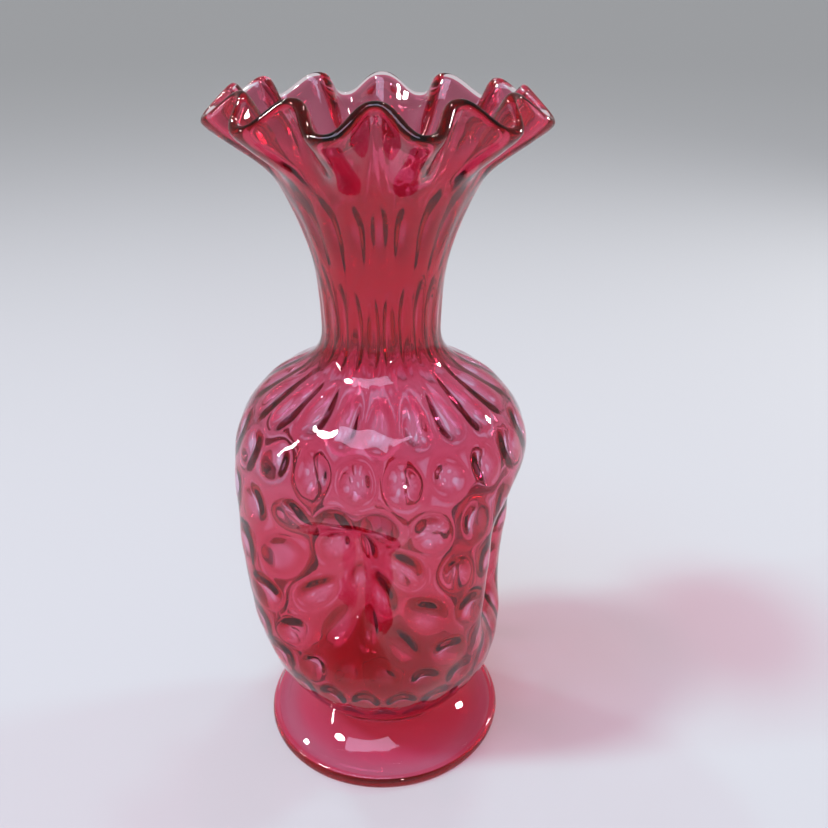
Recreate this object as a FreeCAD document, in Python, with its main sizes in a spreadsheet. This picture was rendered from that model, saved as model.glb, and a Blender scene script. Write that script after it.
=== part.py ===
import FreeCAD, Part
import math
import os
import Sketcher

# Cased-glass bud vase: a blown body with four pinched sides and a crimped
# trumpet lip, on a separately gathered spread foot. All lengths are in
# millimetres. The origin is the middle of the ring that the foot stands on,
# +Z is up, and the four pinches face +X, +Y, -X and -Y.

SIZES = {
    # outside outline of the body, from the foot joint to the lip
    "waist_radius": 26.0,
    "waist_height": 19.0,
    "belly_radius": 56.4,
    "belly_height": 109.0,
    "neck_radius": 20.6,
    "neck_height": 176.0,
    "lip_radius": 50.2,
    "lip_height": 247.1,
    "lip_flare_angle": 47.0,
    # how far each bend of that outline reaches along its end tangents
    "bowl_floor_reach": 10.7,
    "bowl_side_reach": 64.4,
    "shoulder_side_reach": 60.0,
    "shoulder_neck_reach": 27.0,
    "trumpet_neck_reach": 37.0,
    "trumpet_lip_reach": 18.5,
    # whole wall, clear and ruby together, and the ruby share of it
    "wall_waist": 4.6,
    "wall_belly": 3.2,
    "wall_neck": 5.0,
    "wall_lip": 2.9,
    "ruby_thickness": 0.8,
    # pinched sides
    "pinch_count": 4.0,
    "pinch_depth": 27.0,
    "pinch_narrowness": 1.3,
    "pinch_bottom_height": 61.5,
    "pinch_top_height": 117.5,
    "pinch_bottom_softness": 5.2,
    "pinch_top_softness": 4.4,
    # crimped lip
    "crimp_count": 12.0,
    "crimp_size": 6.0,
    "crimp_length": 22.0,
    "crimp_turn": 14.0,
    # foot
    "foot_radius": 48.3,
    "rim_widest_height": 2.6,
    "rim_edge_inset": 2.2,
    "rim_edge_height": 5.5,
    "foot_sweep_radius": 28.6,
    "rest_outer_inset": 2.5,
    "rest_width": 4.3,
    "hollow_height": 3.0,
    "pontil_radius": 11.0,
    "pontil_height": 4.6,
    # ruby core inside the foot
    "clear_cover": 2.4,
    "core_rim_cover": 4.3,
    "core_edge_bottom": 2.5,
    "core_edge_top": 4.1,
}

# How finely the blown wall is sampled before the smooth surfaces go through it.
COLUMNS_PER_CRIMP = 8
BOWL_STATIONS = 19
SHOULDER_STATIONS = 16
TRUMPET_STATIONS = 14
LIP_STATIONS = 7
POLE_PASSES = 6
PINCH_FADE_STATION = 0.2
STEP = 1e-4
SEW_TOLERANCE = 1e-3


def make_sheet(doc):
    sheet = doc.addObject("Spreadsheet::Sheet", "Sizes")
    for row, (name, value) in enumerate(SIZES.items(), start=1):
        sheet.set(f"A{row}", name)
        sheet.set(f"B{row}", str(value))
        sheet.setAlias(f"B{row}", name)
    doc.recompute()
    return sheet


# ---------------------------------------------------------------- blown wall


class Wall:
    """The whole blown wall, as points at (turn, station, layer)."""

    def __init__(self, sheet):
        for name in SIZES:
            setattr(self, name, float(getattr(sheet, name)))
        self.crimps = round(self.crimp_count)
        self.pinches = round(self.pinch_count)
        self.columns = COLUMNS_PER_CRIMP * self.crimps
        self.bends = self.outline_bends()
        spans = (BOWL_STATIONS, SHOULDER_STATIONS, TRUMPET_STATIONS)
        self.stations = [bend + i / n for bend, n in enumerate(spans) for i in range(n)]
        self.stations.append(float(len(spans)))

    def outline_bends(self):
        """Bowl, shoulder and trumpet as cubic bends of (radius, height)."""
        flare = math.radians(self.lip_flare_angle)
        waist = (self.waist_radius, self.waist_height)
        belly = (self.belly_radius, self.belly_height)
        neck = (self.neck_radius, self.neck_height)
        lip = (self.lip_radius, self.lip_height)
        lip_reach = self.trumpet_lip_reach
        bowl = (
            waist,
            (waist[0] + self.bowl_floor_reach, waist[1]),
            (belly[0], belly[1] - self.bowl_side_reach),
            belly,
        )
        shoulder = (
            belly,
            (belly[0], belly[1] + self.shoulder_side_reach),
            (neck[0], neck[1] - self.shoulder_neck_reach),
            neck,
        )
        trumpet = (
            neck,
            (neck[0], neck[1] + self.trumpet_neck_reach),
            (lip[0] - lip_reach * math.cos(flare), lip[1] - lip_reach * math.sin(flare)),
            lip,
        )
        return bowl, shoulder, trumpet

    def outline(self, station):
        """Radius and height on the outside, and the unit tangent there."""
        bend = min(int(station), len(self.bends) - 1)
        b = station - bend
        a = 1.0 - b
        ends = self.bends[bend]
        point_shares = (a ** 3, 3 * a * a * b, 3 * a * b * b, b ** 3)
        slope_shares = (-a * a, a * a - 2 * a * b, 2 * a * b - b * b, b * b)
        radius, height = (sum(k * p[i] for k, p in zip(point_shares, ends)) for i in (0, 1))
        across, up = (sum(k * p[i] for k, p in zip(slope_shares, ends)) for i in (0, 1))
        length = math.hypot(across, up)
        return radius, height, across / length, up / length

    def thickness(self, station):
        """Wall thickness, blended between its four named values."""
        marks = (self.wall_waist, self.wall_belly, self.wall_neck, self.wall_lip)
        bend = min(int(station), len(marks) - 2)
        share = 0.5 - 0.5 * math.cos(math.pi * (station - bend))
        return marks[bend] + (marks[bend + 1] - marks[bend]) * share

    def pinch(self, turn, height):
        """How far the side is pushed in."""
        lobe = (0.5 + 0.5 * math.cos(self.pinches * turn)) ** self.pinch_narrowness
        below = math.exp((self.pinch_bottom_height - height) / self.pinch_bottom_softness)
        above = math.exp((height - self.pinch_top_height) / self.pinch_top_softness)
        return self.pinch_depth * lobe / ((1.0 + below) * (1.0 + above))

    def crimp(self, turn, height):
        """How far the lip is lifted along the wall's own normal."""
        start = self.lip_height - self.crimp_length
        share = max(0.0, (height - start) / self.crimp_length)
        wave = math.cos(self.crimps * (turn - math.radians(self.crimp_turn)))
        return self.crimp_size * wave * share * share * (3.0 - 2.0 * share)

    def middle(self, turn, station):
        """A point halfway through the wall."""
        radius, height, across, up = self.outline(station)
        lift = self.thickness(station) / 2 + self.crimp(turn, height)
        radius -= self.pinch(turn, height) * self.grip(station)
        radius -= up * lift
        height += across * lift
        return FreeCAD.Vector(radius * math.cos(turn), radius * math.sin(turn), height)

    def grip(self, station):
        """Fades the pinch out where the bowl meets the foot."""
        return min(1.0, station / PINCH_FADE_STATION) ** 2

    def frame(self, turn, station):
        """Middle point, unit outward normal and unit tangent towards the lip."""
        low = max(0.0, station - STEP)
        high = min(float(len(self.bends)), station + STEP)
        along = self.middle(turn, high) - self.middle(turn, low)
        around = self.middle(turn + STEP, station) - self.middle(turn - STEP, station)
        along.normalize()
        return self.middle(turn, station), around.cross(along).normalize(), along

    def turns(self):
        return [2 * math.pi * i / self.columns for i in range(self.columns)]

    def ring(self, station, depth):
        """One ring of points at a depth below the outside."""
        half = self.thickness(station) / 2
        points = []
        for turn in self.turns():
            point, outward, _ = self.frame(turn, station)
            points.append(point + outward * (half - depth))
        return points

    def layer(self, depth_of):
        """Rings from the foot joint to the lip at a depth given per station."""
        return [self.ring(station, depth_of(station)) for station in self.stations]

    def lip_round(self):
        """Half-round rings over the lip, from the outside to the inside."""
        top = self.stations[-1]
        half = self.thickness(top) / 2
        frames = [self.frame(turn, top) for turn in self.turns()]
        rings = []
        for i in range(LIP_STATIONS + 1):
            swing = math.pi * i / LIP_STATIONS
            out = half * math.cos(swing)
            over = half * math.sin(swing)
            rings.append([point + n * out + t * over for point, n, t in frames])
        return rings


def ring_poles(points):
    """Poles of the closed even cubic that passes through the points."""
    poles = list(points)
    count = len(points)
    for _ in range(POLE_PASSES):
        poles = [
            poles[i] + points[i] - (poles[i - 1] + poles[i] * 4 + poles[(i + 1) % count]) / 6
            for i in range(count)
        ]
    return poles


def run_lengths(rings):
    """Mean distance from the first ring to each ring."""
    lengths = [0.0]
    for before, after in zip(rings, rings[1:]):
        steps = [(b - a).Length for a, b in zip(before, after)]
        lengths.append(lengths[-1] + sum(steps) / len(steps))
    return lengths


def tube(rings):
    """A smooth closed-round face through the rings, straight if there are two."""
    rows = [ring_poles(ring) for ring in rings]
    across = len(rows[0])
    if len(rings) == 2:
        columns = list(zip(*rows))
        degree = 1
        knots = [0.0, 1.0]
        mults = [2, 2]
    else:
        lengths = run_lengths(rings)
        columns = []
        for column in zip(*rows):
            curve = Part.BSplineCurve()
            curve.interpolate(Points=list(column), Parameters=lengths)
            columns.append(curve.getPoles())
        degree = curve.Degree
        knots = curve.getKnots()
        mults = curve.getMultiplicities()
    surface = Part.BSplineSurface()
    surface.buildFromPolesMultsKnots(
        [list(column) for column in columns],
        [1] * (across + 1),
        mults,
        [float(i) for i in range(across + 1)],
        knots,
        True,
        False,
        3,
        degree,
    )
    return surface.toShape()


def flat_cap(face, height):
    """The flat disc that closes a tube at the given height."""
    for edge in face.Edges:
        box = edge.BoundBox
        if abs(box.ZMin - height) < SEW_TOLERANCE and abs(box.ZMax - height) < SEW_TOLERANCE:
            return Part.Face(Part.Wire([edge]))
    raise ValueError(f"no edge at height {height}")


def closed_solid(faces):
    """One solid from faces that meet edge to edge."""
    shell = Part.makeShell(faces)
    shell.sewShape(SEW_TOLERANCE)
    solid = Part.Solid(shell)
    if solid.Volume < 0:
        solid.reverse()
    return solid


def wall_solids(wall):
    """The clear casing and the ruby lining that it is blown over."""

    def seam_depth(station):
        return wall.thickness(station) - wall.ruby_thickness

    outside = tube(wall.layer(lambda station: 0.0))
    seam_rings = wall.layer(seam_depth)
    inside_rings = wall.layer(wall.thickness)
    seam = tube(seam_rings)
    inside = tube(inside_rings)
    lip = tube(wall.lip_round())
    lip_ring = tube([inside_rings[-1], seam_rings[-1]])

    floor = wall.waist_height
    under = flat_cap(outside, floor)
    seam_floor = flat_cap(seam, floor + seam_depth(0.0))
    inside_floor = flat_cap(inside, floor + wall.wall_waist)
    casing = closed_solid([outside, lip, lip_ring, seam, seam_floor, under])
    lining = closed_solid([inside, lip_ring, seam, seam_floor, inside_floor])
    return casing, lining


def add_wall_piece(doc, label, shape):
    piece = doc.addObject("Part::Feature", label)
    piece.Shape = shape
    piece.Placement = FreeCAD.Placement()
    piece.Label = label
    return piece


# ---------------------------------------------------------------------- foot


def signed_terms(text):
    """Splits a sum such as "waist_height - clear_cover" into signs and names."""
    words = text.split()
    return list(zip(["+"] + words[1::2], words[0::2]))


class Section:
    """A closed half-section on a body's XZ plane, with its corners tied to the sheet.

    A corner is (radius, height), each a sum of sheet names, or None on that axis.
    """

    def __init__(self, doc, label, sheet):
        self.sheet = sheet
        self.body = doc.addObject("PartDesign::Body", label)
        self.body.Label = label
        self.sketch = self.body.newObject("Sketcher::SketchObject", label + "_section")
        planes = {feature.Role: feature for feature in self.body.Origin.OriginFeatures}
        self.sketch.AttachmentSupport = (planes["XZ_Plane"], [""])
        self.sketch.MapMode = "FlatFace"
        self.ends = []

    def value(self, text):
        if text is None:
            return 0.0
        signs = {"+": 1, "-": -1}
        return sum(signs[sign] * getattr(self.sheet, name) for sign, name in signed_terms(text))

    def point(self, corner):
        return FreeCAD.Vector(self.value(corner[0]), self.value(corner[1]), 0)

    def tie(self, kind, where, text):
        constraint = Sketcher.Constraint(kind, *where, self.value(text))
        index = self.sketch.addConstraint(constraint)
        expression = " ".join(f"{sign} Sizes.{name}" for sign, name in signed_terms(text))
        self.sketch.setExpression(f"Constraints[{index}]", expression.lstrip("+ "))

    def hold(self, edge, end, corner):
        """Keeps one end of an edge on its corner."""
        for kind, axis, text in (("DistanceX", -2, corner[0]), ("DistanceY", -1, corner[1])):
            if text is None:
                constraint = Sketcher.Constraint("PointOnObject", edge, end, axis)
                self.sketch.addConstraint(constraint)
            else:
                self.tie(kind, (-1, 1, edge, end), text)

    def line(self, start, finish):
        edge = self.sketch.addGeometry(Part.LineSegment(self.point(start), self.point(finish)))
        self.hold(edge, 1, start)
        self.ends.append((edge, 1, 2))

    def arc(self, start, finish, centre, radius, clockwise):
        """Adds an arc whose start is held; the caller fixes its radius or centre."""
        angles = [math.atan2(p.y - centre.y, p.x - centre.x) for p in (start, finish)]
        if clockwise:
            angles.reverse()
        circle = Part.Circle(centre, FreeCAD.Vector(0, 0, 1), radius)
        edge = self.sketch.addGeometry(Part.ArcOfCircle(circle, *angles))
        self.ends.append((edge, 2, 1) if clockwise else (edge, 1, 2))
        return edge

    def sweep(self, start, finish, radius_text, clockwise=False):
        """An arc of the given radius that hollows the foot's upper side."""
        first = self.point(start)
        last = self.point(finish)
        radius = self.value(radius_text)
        chord = last - first
        rise = math.sqrt(radius ** 2 - (chord.Length / 2) ** 2)
        aside = FreeCAD.Vector(-chord.y, chord.x, 0).normalize()
        centre = (first + last) / 2 + aside * (-rise if clockwise else rise)
        edge = self.arc(first, last, centre, radius, clockwise)
        self.hold(edge, 2 if clockwise else 1, start)
        self.tie("Radius", (edge,), radius_text)

    def bulge(self, start, finish, level_text):
        """A convex arc whose centre is at the given height."""
        first = self.point(start)
        last = self.point(finish)
        level = self.value(level_text)
        squares = [p.x ** 2 + (p.y - level) ** 2 for p in (first, last)]
        centre = FreeCAD.Vector((squares[1] - squares[0]) / (2 * (last.x - first.x)), level, 0)
        edge = self.arc(first, last, centre, (first - centre).Length, clockwise=True)
        self.hold(edge, 2, start)
        self.tie("DistanceY", (-1, 1, edge, 3), level_text)

    def revolve(self):
        """Joins the edges end to end and turns the section about the Z axis."""
        for i, (edge, _, finish) in enumerate(self.ends):
            after, start, _ = self.ends[(i + 1) % len(self.ends)]
            joint = Sketcher.Constraint("Coincident", edge, finish, after, start)
            self.sketch.addConstraint(joint)
        turned = self.body.newObject("PartDesign::Revolution", self.body.Label + "_turned")
        turned.Profile = self.sketch
        turned.ReferenceAxis = (self.sketch, ["V_Axis"])
        turned.Angle = 360
        return self.body


CORE_TOP = "waist_height - clear_cover"
CORE_SHOULDER = ("waist_radius - clear_cover", CORE_TOP)
CORE_EDGE_TOP = ("foot_radius - core_rim_cover", "core_edge_top")
CORE_EDGE_BOTTOM = ("foot_radius - core_rim_cover", "core_edge_bottom")
PONTIL_EDGE = ("pontil_radius", "pontil_height")


def add_foot_casing(doc, sheet):
    """The clear outside of the foot, open below at the ground pontil."""
    joint = ("waist_radius", "waist_height")
    rim_edge = ("foot_radius - rim_edge_inset", "rim_edge_height")
    rim_widest = ("foot_radius", "rim_widest_height")
    rest_outer = ("foot_radius - rest_outer_inset", None)
    rest_inner = ("foot_radius - rest_outer_inset - rest_width", None)
    pontil_lip = ("pontil_radius", "hollow_height")

    section = Section(doc, "foot_clear_casing", sheet)
    section.line((None, "waist_height"), joint)
    section.sweep(joint, rim_edge, "foot_sweep_radius")
    section.bulge(rim_edge, rim_widest, "rim_widest_height")
    section.bulge(rim_widest, rest_outer, "rim_widest_height")
    section.line(rest_outer, rest_inner)
    section.line(rest_inner, pontil_lip)
    section.line(pontil_lip, PONTIL_EDGE)
    section.line(PONTIL_EDGE, CORE_EDGE_BOTTOM)
    section.line(CORE_EDGE_BOTTOM, CORE_EDGE_TOP)
    section.sweep(CORE_EDGE_TOP, CORE_SHOULDER, "foot_sweep_radius + clear_cover", clockwise=True)
    section.line(CORE_SHOULDER, (None, CORE_TOP))
    section.line((None, CORE_TOP), (None, "waist_height"))
    return section.revolve()


def add_foot_core(doc, sheet):
    """The ruby gather inside the foot, bare only at the ground pontil."""
    section = Section(doc, "foot_ruby_core", sheet)
    section.line((None, CORE_TOP), CORE_SHOULDER)
    section.sweep(CORE_SHOULDER, CORE_EDGE_TOP, "foot_sweep_radius + clear_cover")
    section.line(CORE_EDGE_TOP, CORE_EDGE_BOTTOM)
    section.line(CORE_EDGE_BOTTOM, PONTIL_EDGE)
    section.line(PONTIL_EDGE, (None, "pontil_height"))
    section.line((None, "pontil_height"), (None, CORE_TOP))
    return section.revolve()


# --------------------------------------------------------------------- write


def check_document(doc):
    for item in doc.Objects:
        if "Invalid" in item.State or "Error" in item.State:
            raise RuntimeError(f"{item.Label} failed: {item.State}")


def check_piece(piece):
    shape = piece.Shape
    if shape.isNull() or not shape.isValid() or len(shape.Solids) != 1:
        raise RuntimeError(f"{piece.Label} is not one valid solid")


def main():
    doc = FreeCAD.newDocument("bud_vase")
    sheet = make_sheet(doc)
    casing, lining = wall_solids(Wall(sheet))
    pieces = [
        add_wall_piece(doc, "body_clear_casing", casing),
        add_wall_piece(doc, "body_ruby_lining", lining),
        add_foot_casing(doc, sheet),
        add_foot_core(doc, sheet),
    ]
    doc.recompute()
    check_document(doc)
    for piece in pieces:
        check_piece(piece)
    os.makedirs("parts", exist_ok=True)
    for piece in pieces:
        piece.Shape.exportStep(f"parts/{piece.Label}.step")


main()
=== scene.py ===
import math

import bpy
from mathutils import Matrix, Vector


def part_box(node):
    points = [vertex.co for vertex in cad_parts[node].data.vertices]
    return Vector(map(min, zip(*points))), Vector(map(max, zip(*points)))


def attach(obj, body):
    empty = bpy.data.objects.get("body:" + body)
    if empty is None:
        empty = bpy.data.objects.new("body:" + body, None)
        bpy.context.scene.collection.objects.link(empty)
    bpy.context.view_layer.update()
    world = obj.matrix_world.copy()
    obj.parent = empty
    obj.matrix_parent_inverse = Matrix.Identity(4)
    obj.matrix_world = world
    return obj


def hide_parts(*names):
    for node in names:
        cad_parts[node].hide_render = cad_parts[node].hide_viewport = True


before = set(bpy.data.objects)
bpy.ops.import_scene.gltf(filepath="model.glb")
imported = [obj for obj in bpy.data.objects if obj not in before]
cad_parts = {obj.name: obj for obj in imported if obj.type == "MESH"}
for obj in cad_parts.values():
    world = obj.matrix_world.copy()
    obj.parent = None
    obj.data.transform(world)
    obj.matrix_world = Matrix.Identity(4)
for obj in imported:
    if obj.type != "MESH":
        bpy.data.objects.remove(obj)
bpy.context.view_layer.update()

MM = 0.001
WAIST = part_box("body_clear_casing")[0].z
FOOT_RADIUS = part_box("foot_clear_casing")[1].y

# The body's outside outline, as the glass is blown: radius and height of each
# stop, and how far the bends reach along their end tangents.
WAIST_RADIUS = 26.0 * MM
BELLY = (56.4 * MM, 109.0 * MM)
NECK = (20.6 * MM, 176.0 * MM)
LIP = (50.2 * MM, 247.1 * MM)
LIP_FLARE = math.radians(47.0)
BOWL_REACH = (10.7 * MM, 64.4 * MM)
SHOULDER_REACH = (60.0 * MM, 27.0 * MM)
TRUMPET_REACH = (37.0 * MM, 18.5 * MM)

RUBY_THICKNESS = 0.65 * MM
RUBY_GAP = 0.15 * MM
FUSED_OVERLAP = 0.15 * MM
MERGE_REACH = 0.002 * MM
TWO_PI = 2 * math.pi

# ------------------------------------------------------------- node writing


class Tree:
    """Writes a node tree as sums of sockets and plain numbers."""

    def __init__(self, tree):
        self.tree = tree
        self.nodes = tree.nodes
        self.links = tree.links

    def put(self, socket, value):
        """Links a socket, or sets a plain value."""
        if isinstance(value, bpy.types.NodeSocket):
            self.links.new(value, socket)
        else:
            socket.default_value = value

    def node(self, kind, inputs=(), **settings):
        """A new node with its settings and its inputs filled in."""
        made = self.nodes.new(kind)
        for name, value in settings.items():
            setattr(made, name, value)
        for name, value in dict(inputs).items():
            self.put(made.inputs[name], value)
        return made

    def math(self, operation, *values):
        made = self.node("ShaderNodeMath", operation=operation)
        for socket, value in zip(made.inputs, values):
            self.put(socket, value)
        return made.outputs[0]

    def add(self, *values):
        total = values[0]
        for value in values[1:]:
            total = self.math("ADD", total, value)
        return total

    def times(self, *values):
        total = values[0]
        for value in values[1:]:
            total = self.math("MULTIPLY", total, value)
        return total

    def less(self, a, b):
        return self.math("SUBTRACT", a, b)

    def over(self, a, b):
        return self.math("DIVIDE", a, b)

    def held(self, value, low, high):
        places = {"Value": value, "Min": low, "Max": high}
        return self.node("ShaderNodeClamp", places).outputs[0]

    def ramp(self, value, start, end, low=0.0, high=1.0):
        """Goes smoothly from low to high as value goes from start to end."""
        places = {
            "Value": value, "From Min": start, "From Max": end, "To Min": low, "To Max": high}
        made = self.node("ShaderNodeMapRange", places, interpolation_type="SMOOTHSTEP")
        return made.outputs[0]

    def distance_out(self, point):
        """How far a point is from the vase's axis."""
        x, y, _ = self.split(point)
        return self.math("SQRT", self.add(self.times(x, x), self.times(y, y)))

    def vector(self, x, y, z):
        return self.node("ShaderNodeCombineXYZ", {"X": x, "Y": y, "Z": z}).outputs[0]

    def split(self, value):
        return self.node("ShaderNodeSeparateXYZ", {"Vector": value}).outputs

    def vmath(self, operation, *values):
        made = self.node("ShaderNodeVectorMath", operation=operation)
        for socket, value in zip([s for s in made.inputs if s.type == "VECTOR"], values):
            self.put(socket, value)
        return made.outputs[0]

    def scaled(self, value, factor):
        made = self.node("ShaderNodeVectorMath", operation="SCALE")
        self.put(made.inputs["Vector"], value)
        self.put(made.inputs["Scale"], factor)
        return made.outputs[0]

    def noise(self, where, scale, detail=1.0, seed=0.0):
        """Soft noise from -1 to 1."""
        places = {"Vector": where, "W": seed, "Scale": scale, "Detail": detail}
        made = self.node("ShaderNodeTexNoise", places, noise_dimensions="4D")
        return self.math("MULTIPLY_ADD", made.outputs[0], 2.0, -1.0)


KINDS = {
    "count": "NodeSocketInt",
    "size": "NodeSocketFloat",
    "outline": "NodeSocketObject",
    "material": "NodeSocketMaterial",
}


def geometry_tree(name, inputs):
    """A geometry tree with named inputs, as (tree, group input sockets)."""
    made = bpy.data.node_groups.new(name, "GeometryNodeTree")
    made.interface.new_socket("Geometry", in_out="OUTPUT", socket_type="NodeSocketGeometry")
    for label, kind in inputs.items():
        made.interface.new_socket(label, in_out="INPUT", socket_type=KINDS[kind])
    tree = Tree(made)
    return tree, tree.node("NodeGroupInput").outputs


def finish_tree(tree, mesh, material):
    """Ends a tree: seams closed, smooth, real geometry, one material."""
    places = {"Geometry": mesh, "Distance": MERGE_REACH}
    merged = tree.node("GeometryNodeMergeByDistance", places)
    smooth = tree.node("GeometryNodeSetShadeSmooth", {"Geometry": merged.outputs[0]})
    real = tree.node("GeometryNodeRealizeInstances", {"Geometry": smooth.outputs[0]})
    places = {"Geometry": real.outputs[0], "Material": material}
    painted = tree.node("GeometryNodeSetMaterial", places)
    out = tree.node("NodeGroupOutput")
    tree.put(out.inputs[0], painted.outputs[0])


def grown(name, tree, values):
    """A plain mesh object grown by a geometry tree from its input values."""
    seed = bpy.data.objects.new(name + "_seed", bpy.data.meshes.new(name + "_seed"))
    bpy.context.scene.collection.objects.link(seed)
    modifier = seed.modifiers.new("grow", "NODES")
    modifier.node_group = tree.tree
    for item in tree.tree.interface.items_tree:
        if item.in_out == "INPUT":
            modifier[item.identifier] = values[item.name]
    depsgraph = bpy.context.evaluated_depsgraph_get()
    mesh = bpy.data.meshes.new_from_object(seed.evaluated_get(depsgraph))
    bpy.data.objects.remove(seed)
    mesh.name = name
    piece = bpy.data.objects.new(name, mesh)
    bpy.context.scene.collection.objects.link(piece)
    return piece


def outline(name, stops, steps):
    """A curve in the XZ plane from (point, handle before, handle after) stops."""
    data = bpy.data.curves.new(name, "CURVE")
    data.dimensions = "3D"
    data.resolution_u = steps
    spline = data.splines.new("BEZIER")
    spline.bezier_points.add(len(stops) - 1)
    for point, places in zip(spline.bezier_points, stops):
        point.handle_left_type = "FREE"
        point.handle_right_type = "FREE"
        ends = [Vector((radius, 0.0, height)) for radius, height in places]
        point.co, point.handle_left, point.handle_right = ends
    made = bpy.data.objects.new(name, data)
    bpy.context.scene.collection.objects.link(made)
    return made


# -------------------------------------------------------------- body outline

BODY_STEPS = 64


def body_outline():
    """Waist, belly, neck and lip joined by three bends."""
    lip_reach = TRUMPET_REACH[1]
    waist = (WAIST_RADIUS, WAIST)
    before_lip = (
        LIP[0] - lip_reach * math.cos(LIP_FLARE),
        LIP[1] - lip_reach * math.sin(LIP_FLARE))
    below_belly = (BELLY[0], BELLY[1] - BOWL_REACH[1])
    above_belly = (BELLY[0], BELLY[1] + SHOULDER_REACH[0])
    below_neck = (NECK[0], NECK[1] - SHOULDER_REACH[1])
    above_neck = (NECK[0], NECK[1] + TRUMPET_REACH[0])
    return outline("body_outline", [
        (waist, waist, (waist[0] + BOWL_REACH[0], waist[1])),
        (BELLY, below_belly, above_belly),
        (NECK, below_neck, above_neck),
        (LIP, before_lip, LIP),
    ], BODY_STEPS)


WALL_INPUTS = {
    "Outline": "outline",
    "Columns": "count",
    "Wall Rows": "count",
    "Lip Rows": "count",
    "Floor Rows": "count",
    "Top Station": "size",
    "Waist Wall": "size",
    "Belly Wall": "size",
    "Neck Wall": "size",
    "Lip Wall": "size",
    "Layer": "size",
    "Inside Gap": "size",
    "Pinch Count": "size",
    "Pinch Depth": "size",
    "Pinch Narrowness": "size",
    "Pinch Bottom": "size",
    "Pinch Top": "size",
    "Bottom Softness": "size",
    "Top Softness": "size",
    "Crimp Count": "size",
    "Crimp Size": "size",
    "Crimp Length": "size",
    "Crimp Turn": "size",
    "Crimp Roundness": "size",
    "Lip Bead": "size",
    "Spots Around": "size",
    "Body Spot Rows": "size",
    "Neck Spot Rows": "size",
    "Spot Turn": "size",
    "Outside Relief": "size",
    "Inside Relief": "size",
    "Cord Height": "size",
    "Seed": "size",
    "Material": "material",
}

BLOWN = {
    "Waist Wall": 4.6 * MM,
    "Belly Wall": 3.2 * MM,
    "Neck Wall": 5.0 * MM,
    "Lip Wall": 2.9 * MM,
    "Pinch Count": 4.0,
    "Pinch Depth": 27.0 * MM,
    "Pinch Narrowness": 1.3,
    "Pinch Bottom": 61.5 * MM,
    "Pinch Top": 117.5 * MM,
    "Bottom Softness": 5.2 * MM,
    "Top Softness": 4.4 * MM,
    "Crimp Count": 12.0,
    "Crimp Size": 6.0 * MM,
    "Crimp Length": 22.0 * MM,
    "Crimp Turn": math.radians(14.0),
    "Crimp Roundness": 0.06,
    "Spots Around": 20.0,
    "Body Spot Rows": 9.4,
    "Neck Spot Rows": 3.4,
    "Spot Turn": 0.2,
    "Cord Height": 0.7 * MM,
    "Seed": 3.0,
}

# Where along the outline the round body spots give way to long neck ones, the
# share of a cell that a spot fills, and where the relief fades in and out.
SPOT_SHIFT = 0.57
SPOT_STRETCH = 0.8
SPOT_FILL = (0.47, 0.50)
SPOT_EDGE = 0.12
RELIEF_START = (0.03, 0.09)
RELIEF_END = (0.84, 0.97)
RELIEF_REACH = (16.0 * MM, 48.0 * MM)
LIP_BEAD = (0.978, 0.996)
PINCH_FADE = 0.075

# The hand-made drift of the spots round and along the wall: scale, then share
# of a cell. The spots are shallower where the wall is narrow, and at the lip.
WARP_AROUND = (1.3, 0.22)
WARP_ALONG = (1.1, 0.30)
WARP_STRETCH = 6.0
NARROW_RELIEF = 0.45
NECK_RELIEF = (0.5, 0.62, 0.0, 0.9)
LIP_RELIEF = 0.12

# The cords drawn along the inside of the neck and trumpet.
CORD_STRETCH = (1.0, 1.0, 0.1)
CORD_SCALE = 170.0
CORD_SHARE = (0.5, 0.62, 0.25, 1.0)


def wall_thickness(tree, size, height):
    """Blends the four wall sizes between waist, belly, neck and lip."""
    stops = (WAIST, BELLY[1], NECK[1], LIP[1])
    names = ("Waist Wall", "Belly Wall", "Neck Wall", "Lip Wall")
    total = size[names[0]]
    for i in range(3):
        change = tree.less(size[names[i + 1]], size[names[i]])
        share = tree.ramp(height, stops[i], stops[i + 1])
        total = tree.add(total, tree.times(change, share))
    return total


def pinch_push(tree, size, turn, height, station):
    """How far the side is pushed in, with soft ends above and below."""
    wave = tree.math("COSINE", tree.times(size["Pinch Count"], turn))
    lobe = tree.math("POWER", tree.math("MULTIPLY_ADD", wave, 0.5, 0.5), size["Pinch Narrowness"])
    below = tree.over(tree.less(size["Pinch Bottom"], height), size["Bottom Softness"])
    above = tree.over(tree.less(height, size["Pinch Top"]), size["Top Softness"])
    low = tree.add(tree.math("EXPONENT", below), 1.0)
    high = tree.add(tree.math("EXPONENT", above), 1.0)
    grip = tree.ramp(station, 0.0, PINCH_FADE)
    return tree.over(tree.times(size["Pinch Depth"], lobe, grip), tree.times(low, high))


def crimp_lift(tree, size, turn, height):
    """How far the lip is lifted along the wall's normal."""
    start = tree.less(LIP[1], size["Crimp Length"])
    place = tree.times(size["Crimp Count"], tree.less(turn, size["Crimp Turn"]))
    third = tree.times(tree.math("COSINE", tree.times(place, 3.0)), size["Crimp Roundness"])
    wave = tree.less(tree.math("COSINE", place), third)
    return tree.times(size["Crimp Size"], wave, tree.ramp(height, start, LIP[1]))


def around(tree, turn, radius, height):
    """The point at a turn, radius and height."""
    x = tree.times(radius, tree.math("COSINE", turn))
    y = tree.times(radius, tree.math("SINE", turn))
    return tree.vector(x, y, height)


def stored(tree, mesh, name, value):
    """The mesh with a value kept on its points."""
    places = {"Geometry": mesh, "Name": name, "Value": value}
    made = tree.node(
        "GeometryNodeStoreNamedAttribute", places, data_type="FLOAT", domain="POINT")
    return made.outputs[0]


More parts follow.
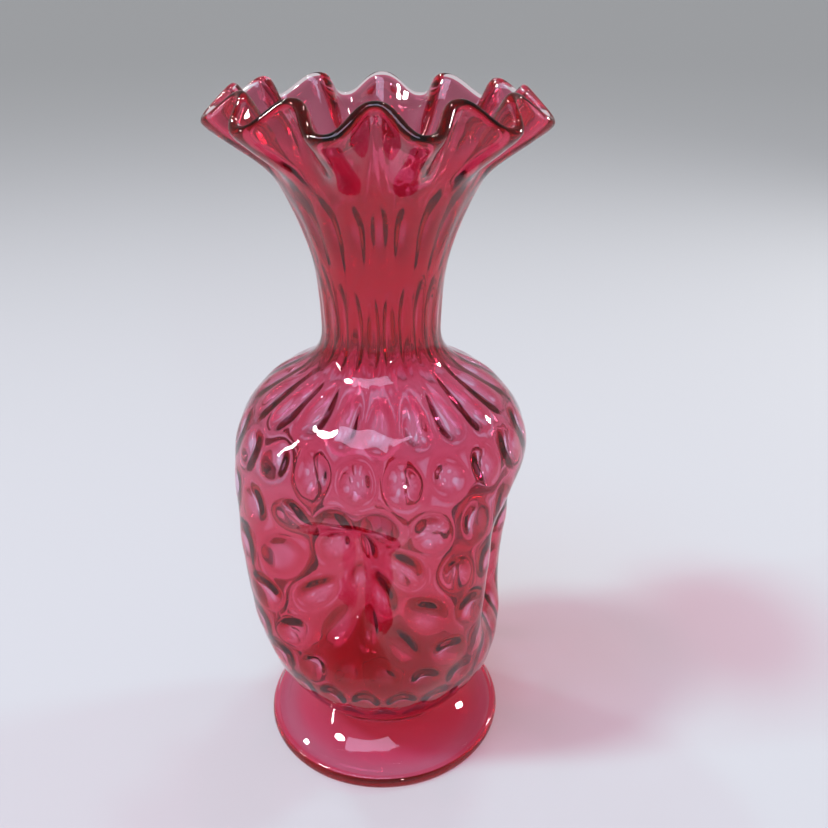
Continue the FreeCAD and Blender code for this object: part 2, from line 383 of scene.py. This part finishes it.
def sheet_grid(tree, columns, rows):
    """A flat grid to be wrapped round, as (grid, point index, column, its first index)."""
    places = {"Size X": 1.0, "Size Y": 1.0, "Vertices X": columns, "Vertices Y": rows}
    grid = tree.node("GeometryNodeMeshGrid", places)
    index = tree.node("GeometryNodeInputIndex").outputs[0]
    column = tree.math("FLOOR", tree.over(tree.add(index, 0.5), rows))
    return grid, index, column, tree.times(column, rows)


def middle_sheet(tree, size):
    """The middle of the wall as an open sheet that laps itself by a column each side."""
    rows = tree.add(size["Wall Rows"], 1.0)
    grid, index, column, first = sheet_grid(tree, tree.add(size["Columns"], 3.0), rows)
    row = tree.less(index, first)
    turn = tree.times(tree.over(tree.less(column, 1.0), size["Columns"]), TWO_PI)
    station = tree.times(tree.over(row, size["Wall Rows"]), size["Top Station"])

    shape = tree.node("GeometryNodeObjectInfo", {"Object": size["Outline"]}).outputs["Geometry"]
    places = {"Curves": shape, "Factor": station}
    sample = tree.node("GeometryNodeSampleCurve", places, mode="FACTOR", use_all_curves=True)
    radius, _, height = tree.split(sample.outputs["Position"])
    out, _, up = tree.split(tree.vmath("NORMALIZE", sample.outputs["Tangent"]))

    thickness = wall_thickness(tree, size, height)
    lift = tree.add(tree.times(thickness, 0.5), crimp_lift(tree, size, turn, height))
    pushed = tree.less(radius, pinch_push(tree, size, turn, height, station))
    radius = tree.less(pushed, tree.times(up, lift))
    height = tree.add(height, tree.times(out, lift))
    placed = tree.node("GeometryNodeSetPosition", {
        "Geometry": grid.outputs["Mesh"],
        "Position": around(tree, turn, radius, height),
    })
    return stored(tree, placed.outputs[0], "wall", thickness), rows


def optic_spots(tree, size, turn, station):
    """1 in the middle of each thumbprint, 0 between them."""
    where = around(tree, turn, 1.0, tree.times(station, WARP_STRETCH))
    other_seed = tree.add(size["Seed"], 5.0)
    warp_around = tree.noise(where, WARP_AROUND[0], 2.0, size["Seed"])
    warp_around = tree.times(warp_around, WARP_AROUND[1])
    warp_along = tree.times(tree.noise(where, WARP_ALONG[0], 2.0, other_seed), WARP_ALONG[1])
    climb = tree.math("MINIMUM", tree.over(station, SPOT_SHIFT), 1.0)
    body = tree.times(tree.math("POWER", climb, SPOT_STRETCH), size["Body Spot Rows"])
    past = tree.math("MAXIMUM", tree.less(station, SPOT_SHIFT), 0.0)
    past = tree.over(past, 1.0 - SPOT_SHIFT)
    along = tree.add(body, tree.times(past, size["Neck Spot Rows"]), warp_along)
    row = tree.math("FLOOR", along)
    stagger = tree.times(tree.math("MODULO", row, 2.0), 0.5)
    cells = tree.times(tree.over(turn, TWO_PI), size["Spots Around"])
    across = tree.add(cells, stagger, size["Spot Turn"], warp_around)
    offsets = []
    for value, fill in ((across, SPOT_FILL[0]), (along, SPOT_FILL[1])):
        offsets.append(tree.over(tree.less(tree.math("FRACT", value), 0.5), fill))
    reach = tree.math("SQRT", tree.add(*[tree.times(o, o) for o in offsets]))
    return tree.ramp(reach, 1.0, SPOT_EDGE)


def blown_wall_tree():
    """A layer of the blown wall: outside, over the lip, inside and both floors."""
    tree, size = geometry_tree("Blown wall", WALL_INPUTS)
    sheet, sheet_rows = middle_sheet(tree, size)
    wall_rows = size["Wall Rows"]
    floor_rows = size["Floor Rows"]
    span = tree.add(wall_rows, size["Lip Rows"])
    path = tree.add(span, wall_rows)
    rows = tree.add(path, floor_rows, floor_rows, 1.0)
    grid, index, column, first = sheet_grid(tree, tree.add(size["Columns"], 1.0), rows)
    step = tree.less(tree.less(index, first), floor_rows)
    turn = tree.times(tree.over(column, size["Columns"]), TWO_PI)
    climbed = tree.held(step, 0.0, wall_rows)
    returned = tree.held(tree.less(step, span), 0.0, wall_rows)
    sheet_row = tree.less(climbed, returned)
    over_lip = tree.over(tree.less(step, wall_rows), size["Lip Rows"])
    swing = tree.times(tree.held(over_lip, 0.0, 1.0), math.pi)
    under = tree.held(tree.over(tree.times(step, -1.0), floor_rows), 0.0, 1.0)
    inside = tree.held(tree.over(tree.less(step, path), floor_rows), 0.0, 1.0)
    gather = tree.less(tree.less(1.0, under), inside)
    station = tree.times(tree.over(sheet_row, wall_rows), size["Top Station"])

    place = tree.add(tree.times(tree.add(column, 1.0), sheet_rows), sheet_row, 0.5)

    def sampled(kind, value):
        """What the middle sheet holds at this point's place."""
        made = tree.node(
            "GeometryNodeSampleIndex", {"Geometry": sheet}, data_type=kind, domain="POINT")
        tree.put(made.inputs["Value"], value)
        tree.put(made.inputs["Index"], tree.math("FLOOR", place))
        return made.outputs[0]

    wall = tree.node("GeometryNodeInputNamedAttribute", {"Name": "wall"}, data_type="FLOAT")
    point = sampled("FLOAT_VECTOR", tree.node("GeometryNodeInputPosition").outputs[0])
    normal = sampled("FLOAT_VECTOR", tree.node("GeometryNodeInputNormal").outputs[0])
    thickness = sampled("FLOAT", wall.outputs[0])

    ring = tree.vector(tree.times(tree.math("SINE", turn), -1.0), tree.math("COSINE", turn), 0.0)
    along = tree.vmath("NORMALIZE", tree.vmath("CROSS_PRODUCT", normal, ring))
    left = tree.less(thickness, size["Inside Gap"])
    half = tree.times(tree.math("MINIMUM", left, size["Layer"]), 0.5)
    bead = tree.times(size["Lip Bead"], tree.ramp(station, *LIP_BEAD))
    half = tree.add(half, bead)
    centre = tree.add(
        tree.times(thickness, -0.5), size["Inside Gap"], half, tree.times(bead, -1.0))
    side = tree.math("COSINE", swing)
    share = tree.math("MULTIPLY_ADD", side, -0.5, 0.5)

    spot = optic_spots(tree, size, turn, station)
    fade_in = tree.ramp(station, *RELIEF_START)
    fade_out = tree.ramp(station, *RELIEF_END, 1.0, LIP_RELIEF)
    spot = tree.times(spot, fade_in, fade_out)
    change = tree.less(size["Inside Relief"], size["Outside Relief"])
    relief = tree.add(size["Outside Relief"], tree.times(share, change))
    reach = tree.distance_out(point)
    room = tree.math(
        "MAXIMUM", tree.ramp(reach, *RELIEF_REACH, NARROW_RELIEF, 1.0),
        tree.ramp(station, *NECK_RELIEF))
    relief = tree.times(relief, room)
    stretched = tree.vmath("MULTIPLY", point, CORD_STRETCH)
    cords = tree.noise(stretched, CORD_SCALE, 2.0, tree.add(size["Seed"], 9.0))
    cords = tree.times(
        cords, size["Cord Height"], share, tree.ramp(station, *CORD_SHARE), fade_out, fade_in)
    shift = tree.add(centre, tree.times(half, side), tree.times(relief, spot), cords)

    moved = tree.vmath("ADD", point, tree.scaled(normal, shift))
    moved = tree.vmath("ADD", moved, tree.scaled(along, tree.times(half, tree.math("SINE", swing))))
    moved = tree.vmath("MULTIPLY", moved, tree.vector(gather, gather, 1.0))
    places = {"Geometry": grid.outputs["Mesh"], "Position": moved}
    placed = tree.node("GeometryNodeSetPosition", places)
    marked = stored(tree, placed.outputs[0], "spot", spot)
    marked = stored(tree, marked, "rim", tree.math("SINE", swing))
    finish_tree(tree, marked, size["Material"])
    return tree


def blown_wall(name, curve, **sizes):
    """One layer of the blown wall as a finished mesh."""
    return grown(name, WALL_TREE, dict(BLOWN, Outline=curve, **sizes))


# --------------------------------------------------------------------- foot

TURNED_INPUTS = {
    "Outline": "outline",
    "Columns": "count",
    "Unevenness": "size",
    "Seed": "size",
    "Material": "material",
}

# The foot is out of true only beyond the waist, growing between these radii.
UNEVEN_SCALE = 30.0
UNEVEN_REACH = (26.0 * MM, 36.0 * MM)
FOOT_STEPS = 14

# The clear foot: the ring that it stands on, the height of its widest part,
# where the hollow sweep from the waist ends, the sweep's own radius, and the
# pontil mark underneath.
REST_RADIUS = 45.8 * MM
REST_WIDTH = 3.9 * MM
RIM_HEIGHT = 2.6 * MM
FOOT_EDGE = (46.1 * MM, 5.5 * MM)
FOOT_SWEEP = 28.6 * MM
PONTIL_RADIUS = 11.0 * MM
PONTIL_DEPTH = 4.6 * MM

# The ruby core: where its sweep starts and ends, the sweep's own radius, its
# widest radius, and the height of its underside at the middle.
CORE_TOP = (23.6 * MM, 16.6 * MM)
CORE_EDGE = (44.0 * MM, 4.3 * MM)
CORE_SWEEP = 31.0 * MM
CORE_RADIUS = 46.9 * MM
CORE_UNDER = 4.95 * MM


def turned_tree():
    """A section turned about the axis, a little out of true as hand work is."""
    tree, size = geometry_tree("Turned foot", TURNED_INPUTS)
    shape = tree.node("GeometryNodeObjectInfo", {"Object": size["Outline"]}).outputs["Geometry"]
    points = tree.node("GeometryNodeResampleCurve", {"Curve": shape}, mode="EVALUATED").outputs[0]
    places = {"Geometry": points}
    counts = tree.node("GeometryNodeAttributeDomainSize", places, component="CURVE")
    rows = counts.outputs["Point Count"]
    grid, index, column, first = sheet_grid(tree, tree.add(size["Columns"], 1.0), rows)
    turn = tree.times(tree.over(column, size["Columns"]), TWO_PI)
    made = tree.node(
        "GeometryNodeSampleIndex", places, data_type="FLOAT_VECTOR", domain="POINT")
    tree.put(made.inputs["Value"], tree.node("GeometryNodeInputPosition").outputs[0])
    tree.put(made.inputs["Index"], tree.less(index, first))
    radius, _, height = tree.split(made.outputs[0])
    point = around(tree, turn, radius, height)
    drift = tree.times(tree.noise(point, UNEVEN_SCALE, 2.0, size["Seed"]), size["Unevenness"])
    radius = tree.add(radius, tree.times(drift, tree.ramp(radius, *UNEVEN_REACH)))
    placed = tree.node("GeometryNodeSetPosition", {
        "Geometry": grid.outputs["Mesh"],
        "Position": around(tree, turn, radius, height),
    })
    faced_out = tree.node("GeometryNodeFlipFaces", {"Mesh": placed.outputs[0]})
    finish_tree(tree, faced_out.outputs[0], size["Material"])
    return tree


def hollow_arc(start, end, radius):
    """The two handles of a hollow arc that falls from start to end."""
    chord = Vector(end) - Vector(start)
    half = math.asin(chord.length / 2 / radius)
    reach = 4 / 3 * math.tan(half / 2) * radius
    slope = math.atan2(chord.y, chord.x)
    first, last = slope - half, slope + half
    leave = (start[0] + reach * math.cos(first), start[1] + reach * math.sin(first))
    arrive = (end[0] - reach * math.cos(last), end[1] - reach * math.sin(last))
    return leave, arrive


def corner(radius, height):
    """A stop where straight runs meet."""
    return ((radius, height),) * 3


def millimetres(*stop):
    """A stop's point and two handles, given in millimetres."""
    return tuple((radius * MM, height * MM) for radius, height in stop)


def foot_outline():
    """Fused top, swept side, rounded rim, rest ring, hollow and pontil."""
    top = (WAIST_RADIUS, WAIST)
    leave, arrive = hollow_arc(top, FOOT_EDGE, FOOT_SWEEP)
    after_edge = (FOOT_EDGE[0] + 0.9 * MM, FOOT_EDGE[1] + 0.45 * MM)
    rest = REST_RADIUS
    inner = rest - REST_WIDTH
    hollow = (rest - 5.6 * MM, 0.5 * MM)
    pontil = PONTIL_RADIUS
    return outline("foot_outline", [
        corner(0.0, WAIST + FUSED_OVERLAP),
        corner(WAIST_RADIUS - 0.4 * MM, WAIST + FUSED_OVERLAP),
        (top, top, leave),
        (FOOT_EDGE, arrive, after_edge),
        ((FOOT_RADIUS, RIM_HEIGHT), (FOOT_RADIUS, 4.7 * MM), (FOOT_RADIUS, 1.2 * MM)),
        ((rest, 0.0), (rest + 1.2 * MM, 0.0), (rest, 0.0)),
        ((inner, 0.0), (inner, 0.0), (rest - 4.6 * MM, 0.0)),
        (hollow, (rest - 5.0 * MM, 0.3 * MM), hollow),
        millimetres((12.0, 3.0), (12.0, 3.0), (11.4, 3.1)),
        ((pontil, 4.0 * MM), (pontil, 3.4 * MM), (pontil, 4.4 * MM)),
        ((10.4 * MM, PONTIL_DEPTH), (10.8 * MM, PONTIL_DEPTH), (10.4 * MM, PONTIL_DEPTH)),
        corner(0.0, PONTIL_DEPTH),
    ], FOOT_STEPS)


def core_outline():
    """The ruby inside the foot, a little under the clear surface."""
    leave, arrive = hollow_arc(CORE_TOP, CORE_EDGE, CORE_SWEEP)
    after_edge = (CORE_EDGE[0] + 1.9 * MM, CORE_EDGE[1] - 0.2 * MM)
    return outline("core_outline", [
        corner(0.0, CORE_TOP[1]),
        (CORE_TOP, CORE_TOP, leave),
        (CORE_EDGE, arrive, after_edge),
        ((CORE_RADIUS, RIM_HEIGHT), (CORE_RADIUS, 3.6 * MM), (CORE_RADIUS, 1.6 * MM)),
        millimetres((44.8, 0.8), (46.2, 0.8), (43.8, 0.8)),
        millimetres((39.0, 2.1), (41.0, 1.8), (39.0, 2.1)),
        millimetres((12.0, 4.9), (12.0, 4.9), (11.4, 4.95)),
        corner(0.0, CORE_UNDER),
    ], FOOT_STEPS)


# ---------------------------------------------------------------- materials

GLASS_IOR = 1.5
BUMP_HEIGHT = 0.1 * MM

# Between which heights the ruby thins out up to the shoulder and down from the
# neck, deepens in the neck and trumpet, and deepens in the bottom. The pale
# shoulder is partly thinner ruby and partly a painted reflection.
THIN_UP = (95.0 * MM, 138.0 * MM)
THIN_DOWN = (172.0 * MM, 156.0 * MM)
DEEP_NECK = (158.0 * MM, 172.0 * MM)
DEEP_TRUMPET = (238.0 * MM, 216.0 * MM)
DEEP_BOTTOM = (40.0 * MM, 24.0 * MM)

# Between which radii the foot has its painted light, a pale ring lit on its sweep, and its deep
# rim, the ruby's own colour at the edge with painted shade in the crease above it.
PAINTED_LIGHT_INNER = (33.0 * MM, 42.0 * MM)
PAINTED_LIGHT_OUTER = (45.6 * MM, 45.0 * MM)
RIM_DEEP_AND_SHADE = (45.0 * MM, 45.8 * MM)


class Shader(Tree):
    """A material's or shader group's node tree."""

    def color(self, a, b, amount):
        """Colour a, turning into colour b as amount goes from 0 to 1."""
        made = self.node("ShaderNodeMix", data_type="RGBA", blend_type="MIX")
        self.put(made.inputs[0], amount)
        self.put(made.inputs[6], a)
        self.put(made.inputs[7], b)
        return made.outputs[2]

    def object_point(self):
        return self.node("ShaderNodeTexCoord").outputs["Object"]

    def group(self, tree, **values):
        """A shader group placed with its own values."""
        made = self.node("ShaderNodeGroup", node_tree=tree.tree)
        for name, value in values.items():
            self.put(made.inputs[name.replace("_", " ")], value)
        return made


def shader_group(name, inputs, outputs):
    """A shader group with named sockets, as (tree, inputs, group output)."""
    made = bpy.data.node_groups.new(name, "ShaderNodeTree")
    add_socket = made.interface.new_socket
    for label, (kind, value) in inputs.items():
        socket = add_socket(label, in_out="INPUT", socket_type="NodeSocket" + kind)
        socket.default_value = value
    for label, kind in outputs.items():
        add_socket(label, in_out="OUTPUT", socket_type="NodeSocket" + kind)
    tree = Shader(made)
    return tree, tree.node("NodeGroupInput").outputs, tree.node("NodeGroupOutput")


def hot_glass_group():
    """Faint rolling waves and drawn cords left on hot-worked glass."""
    tree, size, out = shader_group("Hot glass", {
        "Wave Scale": ("Float", 90.0),
        "Wave Height": ("Float", 0.5),
        "Cord Scale": ("Float", 260.0),
        "Cord Height": ("Float", 0.1),
    }, {"Normal": "Vector", "Cords": "Float"})
    point = tree.object_point()
    waves = tree.noise(point, size["Wave Scale"], 1.0, 2.0)
    drawn = tree.vmath("MULTIPLY", point, (1.0, 1.0, 0.12))
    cords = tree.noise(drawn, size["Cord Scale"], 2.0, 6.0)
    height = tree.add(
        tree.times(waves, size["Wave Height"]), tree.times(cords, size["Cord Height"]))
    places = {"Strength": 1.0, "Distance": BUMP_HEIGHT, "Height": height}
    bump = tree.node("ShaderNodeBump", places)
    tree.put(out.inputs["Normal"], bump.outputs[0])
    tree.put(out.inputs["Cords"], cords)
    return tree


def ruby_depth_group():
    """How much colour the ruby keeps: stretched thin or gathered thick by height, with a painted
    reflection on the shoulder and painted light and shade on the foot.
    """
    tree, size, out = shader_group("Ruby depth", {
        "Thin": ("Color", (0.8, 0.55, 0.6, 1.0)),
        "Full": ("Color", (0.95, 0.5, 0.6, 1.0)),
        "Deep": ("Color", (0.5, 0.05, 0.1, 1.0)),
        "Streaks": ("Float", 0.1),
        "Spots": ("Float", 0.0),
        "Rings": ("Float", 0.0),
        "Cords": ("Float", 0.0),
        "Bottom": ("Float", 1.0),
        "Foot Band": ("Float", 0.0),
    }, {"Colour": "Color"})
    point = tree.object_point()
    height = tree.split(point)[2]
    # Pale shoulder: partly thinner ruby, partly a painted reflection.
    thin_shoulder_and_reflection = tree.times(tree.ramp(height, *THIN_UP), tree.ramp(height, *THIN_DOWN))
    neck = tree.times(tree.ramp(height, *DEEP_NECK), tree.ramp(height, *DEEP_TRUMPET))
    bottom = tree.times(tree.ramp(height, *DEEP_BOTTOM), size["Bottom"])
    streaks = tree.noise(tree.vmath("MULTIPLY", point, (1.0, 1.0, 0.3)), 55.0, 3.0, 4.0)
    spot = tree.node("ShaderNodeAttribute", attribute_name="spot").outputs["Fac"]
    ring = tree.times(spot, tree.less(1.0, spot), 4.0)
    drawn = tree.times(tree.less(spot, 0.35), size["Spots"])
    cords = tree.noise(tree.vmath("MULTIPLY", point, (1.0, 1.0, 0.08)), 150.0, 2.0, 8.0)
    cords = tree.times(cords, neck, size["Cords"])
    deep = tree.add(
        tree.math("MAXIMUM", neck, bottom), tree.times(ring, size["Rings"]),
        tree.times(drawn, -1.2), tree.times(cords, -1.0))
    thin = tree.add(thin_shoulder_and_reflection, tree.times(streaks, size["Streaks"]), drawn)
    colour = tree.color(size["Full"], size["Thin"], tree.held(thin, 0.0, 1.0))
    colour = tree.color(colour, size["Deep"], tree.held(deep, 0.0, 1.0))
    reach = tree.distance_out(point)
    # Painted light: a pale ring on the foot's sweep, where light falls on it.
    painted_light_ring = tree.times(
        tree.ramp(reach, *PAINTED_LIGHT_INNER), tree.ramp(reach, *PAINTED_LIGHT_OUTER), size["Foot Band"])
    colour = tree.color(colour, size["Thin"], painted_light_ring)
    # The deep rim: partly the ruby's own colour at the edge, partly painted shade in the crease by
    # the rim.
    rim = tree.times(tree.ramp(reach, *RIM_DEEP_AND_SHADE), size["Foot Band"])
    colour = tree.color(colour, size["Deep"], tree.held(tree.times(rim, 1.4), 0.0, 1.0))
    tree.put(out.inputs["Colour"], colour)
    return tree


def new_material(name):
    """An empty material, as (material, its tree)."""
    made = bpy.data.materials.new(name)
    made.use_nodes = True
    made.node_tree.nodes.clear()
    return made, Shader(made.node_tree)


def clear_glass(name, colour, lit, wave, cord, rim_colour=None):
    """Fire-polished glass that lets the lamps' light through."""
    made, tree = new_material(name)
    base = colour
    if rim_colour:
        rim = tree.node("ShaderNodeAttribute", attribute_name="rim").outputs["Fac"]
        base = tree.color(colour, rim_colour, rim)
    waves = tree.group(HOT_GLASS, Wave_Height=wave, Cord_Height=cord)
    glass = tree.node("ShaderNodeBsdfPrincipled", {
        "Base Color": base,
        "Metallic": 0.0,
        "IOR": GLASS_IOR,
        "Transmission Weight": 1.0,
        "Roughness": tree.ramp(waves.outputs["Cords"], -0.2, 0.8, 0.0, 0.03),
        "Normal": waves.outputs["Normal"],
    })
    path = tree.node("ShaderNodeLightPath")
    through = tree.node("ShaderNodeBsdfTransparent", {"Color": lit})
    places = {0: path.outputs["Is Shadow Ray"], 1: glass.outputs[0], 2: through.outputs[0]}
    mixed = tree.node("ShaderNodeMixShader", places)
    tree.node("ShaderNodeOutputMaterial", {"Surface": mixed.outputs[0]})
    return made


def ruby_glass(name, **depths):
    """A film of gold-ruby inside the clear glass: it only colours what passes."""
    made, tree = new_material(name)
    depth = tree.group(RUBY_DEPTH, **depths)
    film = tree.node("ShaderNodeBsdfTransparent", {"Color": depth.outputs["Colour"]})
    tree.node("ShaderNodeOutputMaterial", {"Surface": film.outputs[0]})
    return made


HOT_GLASS = hot_glass_group()
RUBY_DEPTH = ruby_depth_group()

casing_glass = clear_glass(
    "casing_glass", colour=(1.0, 0.975, 0.98, 1.0), lit=(0.97, 0.93, 0.94, 1.0),
    wave=0.5, cord=0.08, rim_colour=(0.95, 0.71, 0.68, 1.0))
foot_glass = clear_glass(
    "foot_glass", colour=(1.0, 0.97, 0.975, 1.0), lit=(0.985, 0.96, 0.965, 1.0),
    wave=0.35, cord=0.05)
lining_ruby = ruby_glass(
    "lining_ruby", Thin=(0.945, 0.84, 0.91, 1.0), Full=(0.945, 0.58, 0.68, 1.0),
    Deep=(0.86, 0.27, 0.40, 1.0), Streaks=0.45, Spots=0.8, Rings=0.5, Cords=1.1)
foot_ruby = ruby_glass(
    "foot_ruby", Thin=(0.93, 0.76, 0.82, 1.0), Full=(0.985, 0.58, 0.70, 1.0),
    Deep=(0.985, 0.42, 0.56, 1.0), Streaks=0.35, Bottom=0.0, Foot_Band=0.6)

# ------------------------------------------------------------------- pieces

WALL_TREE = blown_wall_tree()
TURNED_TREE = turned_tree()


def turned(name, curve, **sizes):
    """One layer of the foot as a finished mesh."""
    return grown(name, TURNED_TREE, dict(HAND_TURNED, Outline=curve, **sizes))


def finished(piece, node):
    """Puts a piece in the place of its CAD node."""
    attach(piece, "root")
    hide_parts(node)


# What the two layers of the wall share, and what each has of its own. A layer
# thicker than the wall fills it.
WALL_GRID = {"Columns": 320, "Wall Rows": 140, "Floor Rows": 5}
CLEAR_WALL = {
    "Lip Rows": 8, "Top Station": 1.0, "Layer": 20 * MM, "Inside Gap": 0.0,
    "Lip Bead": 0.35 * MM, "Outside Relief": 0.35 * MM, "Inside Relief": -1.9 * MM}
RUBY_FILM = {
    "Lip Rows": 4, "Top Station": 0.998, "Layer": RUBY_THICKNESS, "Inside Gap": RUBY_GAP,
    "Lip Bead": 0.0, "Outside Relief": -1.9 * MM, "Inside Relief": -1.9 * MM}
HAND_TURNED = {"Unevenness": 0.3 * MM, "Seed": 2.0}

body_curve = body_outline()
body = blown_wall("body_glass", body_curve, Material=casing_glass, **WALL_GRID, **CLEAR_WALL)
lining = blown_wall("body_ruby", body_curve, Material=lining_ruby, **WALL_GRID, **RUBY_FILM)
foot_curve = foot_outline()
foot = turned("foot_glass", foot_curve, Material=foot_glass, Columns=256)
core_curve = core_outline()
core = turned("foot_ruby", core_curve, Material=foot_ruby, Columns=192)
for curve in (body_curve, foot_curve, core_curve):
    bpy.data.objects.remove(curve)

finished(body, "body_clear_casing")
finished(lining, "body_ruby_lining")
finished(foot, "foot_clear_casing")
finished(core, "foot_ruby_core")

# --------------------------------------------------------- floor and lights


FLOOR_RADIUS = 60.0
FLOOR_DROP = 0.1 * MM
LAMP_AIM = Vector((0.0, 0.0, 0.13))


def pale_floor():
    """Pale near the vase and a little dimmer far away, the dimming painted into the floor's colour
    as painted shade.
    """
    bpy.ops.mesh.primitive_circle_add(
        vertices=96, radius=FLOOR_RADIUS, fill_type="NGON", location=(0.0, 0.0, -FLOOR_DROP))
    floor = bpy.context.object
    floor.name = "floor"
    made, tree = new_material("pale_floor")
    # Painted shade: the floor's colour darkens away from the vase.
    far = tree.ramp(tree.distance_out(tree.object_point()), 0.35, 4.0)
    floor_colour_with_painted_falloff = tree.color((0.52, 0.53, 0.55, 1.0), (0.47, 0.48, 0.50, 1.0), far)
    surface = tree.node("ShaderNodeBsdfPrincipled", {"Base Color": floor_colour_with_painted_falloff, "Roughness": 0.9})
    tree.node("ShaderNodeOutputMaterial", {"Surface": surface.outputs[0]})
    floor.data.materials.append(made)


def soft_world():
    """Pale at the horizon and dimmer overhead."""
    world = bpy.data.worlds.new("soft_studio")
    bpy.context.scene.world = world
    world.use_nodes = True
    world.node_tree.nodes.clear()
    tree = Shader(world.node_tree)
    height = tree.split(tree.node("ShaderNodeTexCoord").outputs["Generated"])[2]
    sky = tree.ramp(height, 0.04, 0.7, 0.42, 0.20)
    places = {"Color": (0.97, 0.98, 1.0, 1.0), "Strength": sky}
    light = tree.node("ShaderNodeBackground", places)
    tree.node("ShaderNodeOutputWorld", {"Surface": light.outputs[0]})


def pointing(azimuth, elevation):
    """The unit vector at an azimuth and elevation, in radians."""
    flat = math.cos(elevation)
    return Vector((math.cos(azimuth) * flat, math.sin(azimuth) * flat, math.sin(elevation)))


def sun(name, azimuth, elevation, strength, angle):
    """Broad soft light from one side."""
    data = bpy.data.lights.new(name, "SUN")
    data.energy = strength
    data.angle = math.radians(angle)
    made = bpy.data.objects.new(name, data)
    bpy.context.scene.collection.objects.link(made)
    toward = pointing(math.radians(azimuth), math.radians(elevation))
    made.rotation_euler = toward.to_track_quat("Z", "Y").to_euler()


def lamp(name, place, size, power, colour=(1.0, 1.0, 1.0)):
    """An area lamp that faces the middle of the vase."""
    data = bpy.data.lights.new(name, "AREA")
    data.shape = "RECTANGLE"
    data.size, data.size_y = size
    data.energy = power
    data.color = colour
    made = bpy.data.objects.new(name, data)
    bpy.context.scene.collection.objects.link(made)
    made.location = place
    made.rotation_euler = (LAMP_AIM - Vector(place)).to_track_quat("-Z", "Y").to_euler()


def camera():
    """The eye, where it stands and how it is held."""
    eye = Vector((0.0760, -0.2759, 0.2805))
    heading = math.radians(90.0 + 15.4) - math.atan2(0.0408, 0.9992)
    pitch = math.radians(26.21)
    roll = math.radians(0.48)
    look = pointing(heading, -pitch)
    side = look.cross(Vector((0.0, 0.0, 1.0))).normalized()
    top = side.cross(look)
    right = side * math.cos(roll) + top * math.sin(roll)
    up = top * math.cos(roll) - side * math.sin(roll)
    data = bpy.data.cameras.new("camera")
    data.lens = 37.66
    data.sensor_width = 36.0
    data.clip_start = 0.01
    made = bpy.data.objects.new("camera", data)
    bpy.context.scene.collection.objects.link(made)
    held = Matrix((right, up, -look)).transposed().to_4x4()
    made.matrix_world = Matrix.Translation(eye) @ held
    bpy.context.scene.camera = made


pale_floor()
soft_world()
sun("soft_key", -150.0, 55.0, 1.75, 9.0)
lamp("overhead_softbox", (-0.1, -0.50, 1.20), (0.9, 0.42), 6.5, (0.72, 0.70, 1.0))
lamp("spark_right", (0.90, 0.70, 0.60), (0.16, 0.12), 5.0)
lamp("spark_front", (0.61, -1.07, 0.40), (0.10, 0.08), 2.2)
lamp("spark_left", (-0.62, 0.30, 1.0), (0.09, 0.05), 2.0)
lamp("spark_top", (0.07, 0.29, 1.16), (0.09, 0.05), 1.6)
lamp("left_strip", (-1.2, -0.55, 0.75), (0.06, 0.5), 4.0)
camera()

# Light meets many clear and ruby surfaces before it leaves the vase.
GLASS_BOUNCES = 24
cycles = bpy.context.scene.cycles
cycles.max_bounces = GLASS_BOUNCES
cycles.transmission_bounces = GLASS_BOUNCES
cycles.glossy_bounces = GLASS_BOUNCES
cycles.transparent_max_bounces = 2 * GLASS_BOUNCES
cycles.caustics_reflective = False
cycles.caustics_refractive = False
bpy.context.scene.view_settings.view_transform = "Standard"
